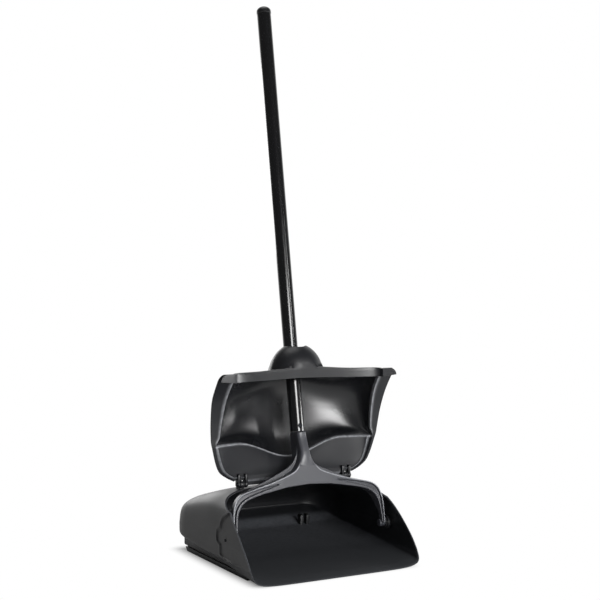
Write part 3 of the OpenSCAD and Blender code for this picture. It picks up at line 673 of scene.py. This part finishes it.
def makeLid():
    grid, normal, t, s, out, drop, reach = lidGrid()
    rows, columns = grid.shape[:2]
    tall = np.linalg.norm(np.diff(grid, axis=0), axis=2)
    run = np.concatenate([np.zeros((1, columns)), np.cumsum(tall, axis=0)])  # length up from the foot
    stepAt = int(np.argmin(np.abs(t[:, 0] - lid["stepRow"])))
    fromStep = run - run[stepAt][None]
    inner = np.minimum(reach, run + lid["footEdge"])  # distance in from the apron's border, sides and foot
    inApron = smoothStep(0.5 - fromStep / lid["apronBlend"])
    inApron = inApron * smoothStep((inner - lid["borderIn"]) / lid["apronBlend"] + 0.5)
    bead = lid["beadHeight"] * np.exp(-(fromStep / lid["beadWidth"]) ** 2)
    bead = bead * rising(reach, lid["beadIn"], lid["beadBlend"])
    edging = np.exp(-((inner - lid["borderIn"] - lid["edgingIn"]) / lid["edgingWidth"]) ** 2)
    edging = edging * (fromStep < 0) * lid["borderBead"]
    fold = np.exp(-((np.abs(s) - 1) * lid["foldIn"]) ** 2) * np.exp(-(out * lid["foldOut"]) ** 2)
    fold = fold * smoothStep(fromStep / lid["foldStart"]) * (drop == 0) * lid["foldHeight"]  # hood meets brim
    front = grid + normal * (lid["apronStep"] * inApron + bead + edging + fold)[..., None]
    back = grid - normal * lid["wall"]
    top = (t > lid["cowlRow"]) * (drop == 0)
    back[..., 2] += cowlLift(back, 0, lid["cowlFoot"]) * top
    front[..., 2] += cowlLift(front, lid["wall"], lid["cowlFoot"] / 2) * top
    order = list(range(columns))
    ring = [(0, i) for i in order] + [(j, columns - 1) for j in range(1, rows)]
    ring += [(rows - 1, i) for i in order[-2::-1]] + [(j, 0) for j in range(rows - 2, 0, -1)]
    base = rows * columns
    hemFront = [j * columns + i for j, i in ring]
    points = np.concatenate([front.reshape(-1, 3), back.reshape(-1, 3)])
    faces = gridFaces(rows, columns, 0, False, True) + gridFaces(rows, columns, base, False, False)
    middle = np.array([(points[a] + points[base + a]) / 2 for a in hemFront])
    away = middle - middle.mean(0)
    middle = middle + lid["hemRound"] * away / np.linalg.norm(away, axis=1)[:, None]  # rounded hem
    hem = len(points)
    m = len(ring)
    for k in range(m):
        a, b = hemFront[k], hemFront[(k + 1) % m]
        c, d = hem + k, hem + (k + 1) % m
        faces += [(a, b, d, c), (c, d, base + b, base + a)]
    piece = solid("lidHood", np.concatenate([points, middle]), faces, lidPlastic)
    cutSlot(piece)
    # grained: apron, brim, lip and the whole outside; polished: the hood's inside
    p = lidPaint
    lower = p["apron"] * smoothStep(0.5 - fromStep / p["apronBlend"])
    edges = p["brim"] * np.clip(out * p["brimRun"], 0, 1)
    grained = np.maximum(np.maximum(lower, edges), p["lip"] * (drop > 0))
    texture = np.concatenate([grained.reshape(-1), np.full(rows * columns, p["outside"])])
    # painted highlight along the step's bead, the apron's edging and the fold where hood meets brim
    line = np.exp(-(fromStep / p["beadWidth"]) ** 2) * (reach > lid["beadIn"])
    line = line + edging / lid["borderBead"] * p["edging"] + p["fold"] * fold
    paintedLight = np.concatenate([np.clip(line, 0, 1).reshape(-1), np.zeros(rows * columns)])
    co = np.array([v.co for v in piece.data.vertices]) / mm
    co[:, 1] += halfLength
    near = closest(co, points)[0]
    paint(piece, "textured", texture[near])
    paint(piece, "paintedLight", paintedLight[near])
    return piece


def hingeEars():
    parts = []
    y, z = hinge["y"], hinge["z"]
    for s in (-1, 1):
        for side in (-1, 1):
            near = s * hinge["x"] + side * (hinge["knuckleLength"] / 2 + hinge["earGap"])
            far = near + side * hinge["ear"]
            lo, hi = sorted((near, far))
            eye = disc(hinge["knuckle"] / 2, near, far, (y, z), hinge["ease"])
            leg = block((lo, y - hinge["legFront"], z), (hi, y + hinge["legBack"], z + hinge["legRise"]))
            for form in (eye, leg):
                ear = solid("ear", *form, lidPlastic)
                paint(ear, "textured", np.full(len(ear.data.vertices), lidPaint["ear"]))
                paint(ear, "paintedLight", np.zeros(len(ear.data.vertices)))
                parts.append(ear)
    return parts


lidPiece = joined("lidHood", [makeLid()] + hingeEars())
finished(creased(lidPiece, lid["crease"]), "lid", "lid_plastic", "lid")
print("lid made")


# Yoke

yoke = {
    "rise": 160.0, "lean": 9.6, "half": 140.5, "depth": 20.0, "armSteps": 113, "crownSteps": 61,
    "rearSteps": 43, "eyeDiameter": 12.5, "eyeIn": 132.5, "eyeOut": 143.8, "eyeEase": 1.0, "eyeBack": 5.0,
    "eyeRun": 46.0, "setBack": 16.3, "plate": 5.0, "groove": 4.5, "grooveRun": 2.6, "edgeWide": 2.6,
    "edgeShare": 0.3, "ledgeWide": 4.2, "webWide": 4.5, "innerShare": 0.4, "webFrom": 60, "faceRise": 14.0,
    "backPlate": 4.0, "bladeHalf": 8.4, "bladeLow": 84.0, "bladeTop": 162.0, "bladeBack": -27.0,
    "bladeFront": -5.0, "coreRow": 12, "coreRise": 4.0, "coreTop": 144.0, "ribLow": 92.0, "ribRound": 125.0,
    "ribBend": 118.0, "ribTop": 161.0, "ribDrop": 8.5, "ribBack": -7.0, "ribRows": 40, "ribSteps": 17,
    "voxel": 0.65, "smoothing": 6, "smoothShare": 0.5, "paintedPale": (2.4, 1.4), "highlightLevel": 0.75,
}
armOuter = [[1, 0], [1, 0.187], [0.986, 0.287], [0.943, 0.375],
            [0.851, 0.434], [0.674, 0.475], [0.468, 0.519], [0.319, 0.559]]
armInner = [[0.962, 0], [0.942, 0.187], [0.917, 0.263], [0.865, 0.325],
            [0.78, 0.369], [0.638, 0.403], [0.44, 0.434], [0.284, 0.456]]
crownEdge = [[0.319, 0.559], [0.185, 0.605], [0.122, 0.656], [0.08, 0.725], [0.06, 0.812], [0.06, 0.92]]
rearEdge = [[0.84, 0.425], [0.726, 0.468], [0.591, 0.51], [0.456, 0.555], [0.32, 0.605], [0.178, 0.665],
            [0.093, 0.75], [0.06, 0.86]]
crownLow = 0.472
lean = math.radians(yoke["lean"])  # of the yoke and the handle alike


def onYoke(u, v, w):  # across, up the yoke's plane, out of its front
    y = pivot["y"] + v * math.sin(lean) - w * math.cos(lean)
    return (u, y, pivot["z"] + v * math.cos(lean) + w * math.sin(lean))


def prism(outline, low, high):  # an outline in the yoke's plane; low may differ from point to point
    n = len(outline)
    low = np.broadcast_to(low, n)
    points = [onYoke(u, v, w) for (u, v), w in zip(outline, low)] + [onYoke(u, v, high) for u, v in outline]
    faces = [tuple(range(n)), tuple(range(n, 2 * n))] + gridFaces(2, n, 0, True, False)
    return solid("prism", points, faces, yokeNylon)


def strip(first, second, low, high):  # a ribbon between two curves, as short prisms side by side
    parts = []
    for i in range(len(first) - 1):
        quad = [first[i], first[i + 1], second[i + 1], second[i]]
        parts.append(prism(quad, [low[i], low[i + 1], low[i + 1], low[i]], high))
    return parts


def frontRib(crown):  # flat at the crown, then rounder and back towards the tube, clear of the lid
    half = yoke["depth"] / 2
    rows = []
    for v in np.linspace(yoke["ribLow"], yoke["ribTop"], yoke["ribRows"]):
        wide = np.interp(v, crown[:, 1], crown[:, 0])
        roundness = rising(v, yoke["ribLow"], yoke["ribRound"] - yoke["ribLow"])
        back = yoke["ribDrop"] * rising(v, yoke["ribBend"], yoke["ribTop"] - yoke["ribBend"])
        row = []
        for a in np.linspace(-math.pi / 2, math.pi / 2, yoke["ribSteps"]):
            sag = yoke["groove"] * roundness * (1 - math.cos(a))
            row.append(onYoke(wide * math.sin(a), v, half - sag - back))
        rows.append(row + [onYoke(wide, v, yoke["ribBack"]), onYoke(-wide, v, yoke["ribBack"])])
    n = len(rows[0])
    faces = gridFaces(len(rows), n, 0, True, False) + endFaces(len(rows), n)
    return solid("rib", rows, faces, yokeNylon)


def makeYoke():
    y = yoke
    scale = np.array([y["half"], y["rise"]])
    fine = np.linspace(0, len(armOuter) - 1, y["armSteps"])
    outer = catmull(armOuter, fine) * scale
    inner = catmull(armInner, fine) * scale
    crown = catmull(crownEdge, np.linspace(0, len(crownEdge) - 1, y["crownSteps"]))[1:] * scale
    tall = catmull(rearEdge, np.linspace(0, len(rearEdge) - 1, y["rearSteps"])) * scale
    low = [0, crownLow * y["rise"]]
    half = y["depth"] / 2
    sunk = half - y["groove"]  # the groove's floor
    away = outer - inner
    wide = np.linalg.norm(away, axis=1)[:, None]
    along = away / wide
    groove = falling(fine, fine[-1], y["grooveRun"])[:, None]  # it runs out to a point in the crown
    edge = np.minimum(y["edgeWide"], wide * y["edgeShare"])
    ledge = np.minimum(y["ledgeWide"], wide * y["innerShare"])
    edgeIn = outer - along * (edge + (1 - groove) * (wide - edge - ledge) / 2)
    ledgeOut = inner + along * (ledge + (1 - groove) * (wide - edge - ledge) / 2)
    rear = -half + (half + y["eyeBack"]) * smoothStep(1 - outer[:, 1] / y["eyeRun"])  # shallower at the pivot
    flat = crown[crown[:, 1] < y["ribLow"] + y["faceRise"]]
    flatTop = [0, flat[-1][1]]
    web = inner + along * np.minimum(y["webWide"], wide * y["innerShare"])
    b = y["bladeHalf"]
    coreTop = [[b, crown[y["coreRow"]][1] + y["coreRise"]], [b, y["coreTop"]], [0, y["coreTop"]]]
    under = inner[y["webFrom"]:][::-1]
    parts = [frontRib(crown)]
    for s in (1, -1):
        side = np.array([s, 1])
        plate = np.vstack([outer, flat, flatTop, low, inner[::-1]]) * side
        parts.append(prism(plate, sunk - y["plate"], sunk))
        parts += strip(outer * side, edgeIn * side, np.full(len(fine), half - y["plate"]), half)
        parts += strip(ledgeOut * side, inner * side, rear, half)
        face = np.vstack([outer[-2:], flat, flatTop, low, inner[-2:][::-1]]) * side
        parts.append(prism(face, half - y["plate"], half))
        core = np.vstack([web[y["webFrom"]:], coreTop, low, under]) * side
        parts.append(prism(core, -half, y["bladeFront"]))
        back = np.vstack([tall, [0, tall[-1][1]], low, under]) * side
        parts.append(prism(back, -half, -half + y["backPlate"]))
        centre = (pivot["y"], pivot["z"])
        eye = disc(y["eyeDiameter"] / 2, s * y["eyeIn"], s * y["eyeOut"], centre, y["eyeEase"])
        parts.append(solid("eye", *eye, yokeNylon))
    blade = [[-b, y["bladeLow"]], [b, y["bladeLow"]], [b, y["bladeTop"]], [-b, y["bladeTop"]]]
    parts.append(prism(blade, y["bladeBack"], y["bladeFront"]))
    piece = joined("yokeBody", parts)
    skin = piece.modifiers.new("skin", "REMESH")
    skin.mode = "VOXEL"
    skin.voxel_size = y["voxel"] * mm
    ease = piece.modifiers.new("ease", "SMOOTH")
    ease.factor = y["smoothShare"]
    ease.iterations = y["smoothing"]
    settle(piece)
    piece.data.materials.clear()
    piece.data.materials.append(yokeNylon)
    piece.data.polygons.foreach_set("use_smooth", [True] * len(piece.data.polygons))
    rim = []
    for u, v in np.vstack([outer, crown[crown[:, 1] < y["ribBend"]]]):  # front edges, where a highlight is painted
        rim += [onYoke(u, v, half), onYoke(-u, v, half)]
    # painted highlight: a pale band along the yoke's front edges
    toRim = closest([v.co for v in piece.data.vertices], inFrame(rim))[1] / mm
    paint(piece, "paintedLight", y["highlightLevel"] * falling(toRim, *y["paintedPale"]))
    return piece


finished(makeYoke(), "yoke", "yoke_plastic", "yoke")
print("yoke made")


# Handle tube and cap

handle = {
    "diameter": 24.0, "length": 737.0, "sides": 96, "capDome": 9.0, "capCollar": 4.0, "capProud": 0.5,
    "capEase": 0.6, "capSteps": 18, "capFrom": 0.08, "capShort": 0.04, "capSides": 64, "crease": 40,
    "rivetUp": 9.0, "rivet": (4.0, 1.4, 2.5, 12.0),
}
stemY = pivot["y"] + yoke["rise"] * math.sin(lean) + yoke["setBack"]
stemZ = pivot["z"] + yoke["rise"] * math.cos(lean)


def onHandle(x, y, z):  # z up the handle from the top of the stem
    back = stemY + y * math.cos(lean) + z * math.sin(lean)
    return (x, back, stemZ - y * math.sin(lean) + z * math.cos(lean))


def openTree(name, sockets):  # a geometry tree with named inputs
    tree = bpy.data.node_groups.new(name, "GeometryNodeTree")
    for label, kind in sockets.items():
        tree.interface.new_socket(label, in_out="INPUT", socket_type="NodeSocket" + kind)
    return tree, add(tree, "NodeGroupInput").outputs


def coated(tree, geometry, material):  # every tree ends in real meshes with one material
    tree.interface.new_socket("Geometry", in_out="OUTPUT", socket_type="NodeSocketGeometry")
    real = add(tree, "GeometryNodeRealizeInstances", {"Geometry": geometry}).outputs["Geometry"]
    coat = add(tree, "GeometryNodeSetMaterial", {"Geometry": real, "Material": material})
    add(tree, "NodeGroupOutput", {"Geometry": coat.outputs["Geometry"]})
    return tree


def tubeTree(name, material):  # a tube that follows a straight path
    tree, given = openTree(name, {"Start": "Vector", "End": "Vector", "Radius": "Float", "Sides": "Int"})
    line = add(tree, "GeometryNodeCurvePrimitiveLine", {"Start": given["Start"], "End": given["End"]})
    ring = add(tree, "GeometryNodeCurvePrimitiveCircle", {
        "Resolution": given["Sides"], "Radius": given["Radius"]})
    tube = add(tree, "GeometryNodeCurveToMesh", {
        "Curve": line.outputs["Curve"], "Profile Curve": ring.outputs["Curve"], "Fill Caps": True})
    return coated(tree, tube.outputs["Mesh"], material)


def grown(name, tree, values, points=()):  # runs a node tree and keeps its result as a plain mesh
    mesh = bpy.data.meshes.new(name)
    mesh.from_pydata([tuple(p) for p in points], [], [])
    piece = bpy.data.objects.new(name, mesh)
    scene.collection.objects.link(piece)
    modifier = piece.modifiers.new("grow", "NODES")
    modifier.node_group = tree
    for item in tree.interface.items_tree:
        if item.item_type == "SOCKET" and item.in_out == "INPUT" and item.name in values:
            modifier[item.identifier] = values[item.name]
    return outward(settle(piece))


def makeCap():  # a collar and a dome, turned about the handle's axis
    radius = handle["diameter"] / 2 + handle["capProud"]
    shoulder = tubeTop + handle["capCollar"]
    ease = handle["capEase"]
    profile = [(radius - ease, tubeTop), (radius, tubeTop + ease), (radius, shoulder)]
    for a in np.linspace(handle["capFrom"], math.pi / 2 - handle["capShort"], handle["capSteps"]):
        profile.append((radius * math.cos(a), shoulder + handle["capDome"] * math.sin(a)))
    sides = handle["capSides"]
    points = []
    for r, z in profile:
        for i in range(sides):
            a = 2 * math.pi * i / sides
            points.append(onHandle(r * math.cos(a), r * math.sin(a), z))
    faces = gridFaces(len(profile), sides, 0, True, False) + endFaces(len(profile), sides)
    return solid("handleCap", points, faces, capPlastic)


tubeTop = handle["length"] - handle["capDome"] - handle["capCollar"]
tubeEnds = inFrame([onHandle(0, 0, 0), onHandle(0, 0, tubeTop)])
tubePiece = grown("handleTube", tubeTree("tubeTree", tubeEnamel), {
    "Start": tuple(tubeEnds[0]), "End": tuple(tubeEnds[1]), "Radius": handle["diameter"] / 2 * mm,
    "Sides": handle["sides"]})
finished(creased(tubePiece, handle["crease"]), "yoke", "tube_paint", "handle_tube")
finished(creased(makeCap(), handle["crease"]), "yoke", "tube_plastic", "handle_cap")
print("handle made")


# Screws and pins: one headed pin, set at every point that is given

pinShape = {"sides": 32, "rim": 0.55, "top": 0.72, "crease": 30}


def pinTree(name, material):
    tree, given = openTree(name, {
        "Geometry": "Geometry", "Head Radius": "Float", "Head Height": "Float", "Shank Radius": "Float",
        "Shank Length": "Float", "Turn": "Vector", "Back Turn": "Vector", "Both Ends": "Bool"})
    head, shank, length = given["Head Radius"], given["Shank Radius"], given["Shank Length"]
    rise = calc(tree, "MULTIPLY", given["Head Height"], pinShape["rim"])
    top = calc(tree, "MULTIPLY", head, pinShape["top"])
    slope = calc(tree, "SUBTRACT", given["Head Height"], rise)
    upRim = calc(tree, "ADD", length, rise)
    pin = add(tree, "GeometryNodeJoinGeometry")
    stages = ((shank, shank, length, 0.0), (head, head, rise, length), (head, top, slope, upRim))
    for low, high, depth, lift in stages:
        cone = add(tree, "GeometryNodeMeshCone", {
            "Vertices": pinShape["sides"], "Radius Bottom": low, "Radius Top": high, "Depth": depth})
        up = add(tree, "ShaderNodeCombineXYZ", {"Z": lift}).outputs["Vector"]
        placed = add(tree, "GeometryNodeTransform", {"Geometry": cone.outputs["Mesh"], "Translation": up})
        tree.links.new(placed.outputs["Geometry"], pin.inputs["Geometry"])
    every = add(tree, "GeometryNodeJoinGeometry")
    for turn, chosen in ((given["Turn"], True), (given["Back Turn"], given["Both Ends"])):
        copies = add(tree, "GeometryNodeInstanceOnPoints", {
            "Points": given["Geometry"], "Instance": pin.outputs["Geometry"], "Rotation": turn,
            "Selection": chosen})
        tree.links.new(copies.outputs["Instances"], every.inputs["Geometry"])
    return coated(tree, every.outputs["Geometry"], material)


zincPin = pinTree("zincPin", zincSteel)
blackPin = pinTree("blackPin", blackSteel)
quarter = math.pi / 2
floorTilt = math.atan(pan["floorLift"] / pan["length"])
roller = {"x": 84.0, "y": 272.0, "z": 10.0, "pin": (3.25, 1.2, 2.0, 11.5)}
screw = {"x": 130.0, "front": 54.0, "back": 298.0, "shares": (0.2, 0.53, 0.86), "head": (3.5, 2.6),
         "radius": 2.0, "hold": 3.8, "sink": 3.0}


def screwPoints():  # the shank's inner end, square to the sloping floor
    out = []
    for s in (-1, 1):
        for share in screw["shares"]:
            y = screw["front"] + (screw["back"] - screw["front"]) * share
            z = y * math.tan(floorTilt) + screw["hold"] * math.cos(floorTilt)
            out.append((s * screw["x"], y - screw["hold"] * math.sin(floorTilt), z))
    return out


screwSize = screw["head"] + (screw["radius"], screw["hold"] + screw["sink"])
pinSize = (pivot["pinHead"], pivot["pinHeadHeight"], pivot["pinRadius"], pivot["pinOut"] - yoke["eyeIn"])
rivetAt = [onHandle(0, 0, handle["rivetUp"])]
pins = [  # node, piece, tree, points, radius and length of head and shank, two turns, both ends, body
    ("skid_screws", "skidScrews", zincPin, screwPoints(), screwSize, (math.pi + floorTilt, 0, 0), (0, 0, 0),
     False, "pan"),
    ("handle_rivet", "handleRivet", blackPin, rivetAt, handle["rivet"], (quarter - lean, 0, 0),
     (-quarter - lean, 0, 0), True, "yoke"),
]
for s, label in ((-1, "left"), (1, "right")):
    name = label.capitalize()
    turns = (0, s * quarter, 0), (0, -s * quarter, 0)
    pins.append(("pivot_pin_" + label, "pivotPin" + name, blackPin,
                 [(s * yoke["eyeIn"], pivot["y"], pivot["z"])], pinSize, *turns, False, "yoke"))
    pins.append(("hinge_pin_" + label, "hingePin" + name, blackPin,
                 [(s * hinge["x"], hinge["y"], hinge["z"])], hinge["pin"], *turns, True, "pan"))
    pins.append(("roller_pin_" + label, "rollerPin" + name, zincPin,
                 [(s * roller["x"], roller["y"], roller["z"])], roller["pin"], *turns, True, "pan"))
labels = ("Head Radius", "Head Height", "Shank Radius", "Shank Length")
for node, name, tree, points, sizes, turn, backTurn, bothEnds, body in pins:
    values = dict(zip(labels, [v * mm for v in sizes]))
    values.update({"Turn": turn, "Back Turn": backTurn, "Both Ends": bothEnds})
    finished(creased(grown(name, tree, values, inFrame(points)), pinShape["crease"]), body, "steel", node)
print("pins and screws made")


# Small solids that keep their shape and get eased edges

for node, name, material, width, body, slotName in (
        ("skid", "skid", wearNylon, 1.0, "pan", "wear_plastic"),
        ("roller_bracket", "rollerBracket", panPlastic, 0.5, "pan", "pan_plastic"),
        ("roller", "roller", wearNylon, 0.5, "roller", "wear_plastic"),
        ("pivot_washer", "pivotWasher", wearNylon, 0.25, "yoke", "wear_plastic")):
    for label in ("left", "right"):
        piece = softened(node + "_" + label, name + label.capitalize(), material, width)
        own = body + "_" + label if body == "roller" else body  # each roller is a body of its own
        finished(piece, own, slotName, node + "_" + label)
print("small pieces made")


# Floor, light and camera

studio = {
    "fill": 0.15, "backdropAxis": (0.4825, 0.8759, 0.0), "backdrop": (0.3, 0.75), "sweep": (0.3, 1.5),
    "shadowHalf": (0.13, 0.14, 0.0), "shadowFade": (-0.01, 0.035), "paper": (0.9, 0.93), "paperGrain": 4,
    "floorHalf": 6.0,
}


def whiteShares(tree, where, start, end):  # white to the eye, and to mirrors where it is behind the object
    ray = add(tree, "ShaderNodeLightPath").outputs
    facing = add(tree, "ShaderNodeVectorMath", {0: where, 1: studio["backdropAxis"]}, operation="DOT_PRODUCT")
    behind = ranged(tree, facing.outputs["Value"], 0.0, 1.0, start, end, "SMOOTHSTEP")
    seen = calc(tree, "MAXIMUM", ray["Is Camera Ray"], ray["Is Transmission Ray"])
    return seen, calc(tree, "MULTIPLY", ray["Is Glossy Ray"], behind)


def paleFloor():  # white paper sweep: keeps the shadow close to the object and is plain white further out
    material, tree, where = freshMaterial("paleFloor")
    size = add(tree, "ShaderNodeVectorMath", {0: where}, operation="ABSOLUTE").outputs["Vector"]
    past = add(tree, "ShaderNodeVectorMath", {0: size, 1: studio["shadowHalf"]}, operation="SUBTRACT")
    beyond = add(tree, "ShaderNodeVectorMath", {0: past.outputs["Vector"], 1: (0, 0, 0)}, operation="MAXIMUM")
    length = add(tree, "ShaderNodeVectorMath", {0: beyond.outputs["Vector"]}, operation="LENGTH")
    far = ranged(tree, length.outputs["Value"], 0.0, 1.0, *studio["shadowFade"], "SMOOTHSTEP")
    seen, mirrored = whiteShares(tree, where, *studio["sweep"])
    shade = ranged(tree, noise(tree, where, studio["paperGrain"]), *studio["paper"])
    colour = add(tree, "ShaderNodeCombineColor", {"Red": shade, "Green": shade, "Blue": shade})
    paper = add(tree, "ShaderNodeBsdfDiffuse", {"Color": colour.outputs["Color"]})
    white = add(tree, "ShaderNodeEmission", {"Color": (1, 1, 1, 1), "Strength": 1.0})
    amount = calc(tree, "MAXIMUM", calc(tree, "MULTIPLY", seen, far), mirrored)
    mix = add(tree, "ShaderNodeMixShader", {
        0: amount, 1: paper.outputs["BSDF"], 2: white.outputs["Emission"]})
    add(tree, "ShaderNodeOutputMaterial", {"Surface": mix.outputs["Shader"]})
    return material


def studioWorld():  # dim room with a white backdrop behind the object
    world = bpy.data.worlds.new("studio")
    world.use_nodes = True
    tree = world.node_tree
    tree.nodes.clear()
    where = add(tree, "ShaderNodeTexCoord").outputs["Generated"]
    seen, mirrored = whiteShares(tree, where, *studio["backdrop"])
    level = ranged(tree, calc(tree, "MAXIMUM", seen, mirrored), studio["fill"], 1.0)
    sky = add(tree, "ShaderNodeBackground", {"Color": (1, 1, 1, 1), "Strength": level})
    add(tree, "ShaderNodeOutputWorld", {"Surface": sky.outputs["Background"]})
    return world


h = studio["floorHalf"]
corners = [(-h, -h, 0), (h, -h, 0), (h, h, 0), (-h, h, 0)]
floor = pieceFrom("studioFloor", corners, [(0, 1, 2, 3)], paleFloor(), False)
scene.world = studioWorld()
lamps = {  # place, target, size across and up, watts
    "frontSoftbox": ((0.14, -2.3, 0.66), (0, 0, 0.25), 1.0, 1.0, 58),
    "frontStrip": ((1.35, -1.74, 1.06), (0, 0, 0.4), 0.2, 0.34, 4),
    "rightSoftbox": ((1.9, -0.62, 0.22), (0, 0, 0.25), 1.0, 0.36, 20),
    "backSoftbox": ((-0.15, 2.35, 0.85), (0, 0, 0.1), 1.5, 0.7, 10),
    "topSoftbox": ((0.0, 0.1, 2.2), (0, 0, 0.2), 1.2, 1.2, 10),
}
for name, (place, target, across, up, watts) in lamps.items():
    light = bpy.data.lights.new(name, "AREA")
    light.shape = "RECTANGLE"
    light.size = across
    light.size_y = up
    light.energy = watts
    lamp = bpy.data.objects.new(name, light)
    lamp.location = place
    lamp.rotation_euler = (Vector(target) - Vector(place)).to_track_quat("-Z", "Y").to_euler()
    lamp.visible_camera = False
    scene.collection.objects.link(lamp)

photo = {"lens": 72, "sensor": 36, "place": (-0.95664, -1.76696, 0.46895), "down": 1.06, "turn": -28.85}
lens = bpy.data.cameras.new("photoCamera")
lens.sensor_width = photo["sensor"]
lens.lens = photo["lens"]
camera = bpy.data.objects.new("photoCamera", lens)
camera.location = photo["place"]
camera.rotation_euler = (math.radians(90 - photo["down"]), 0, math.radians(photo["turn"]))
scene.collection.objects.link(camera)
scene.camera = camera
scene.view_settings.view_transform = "Standard"
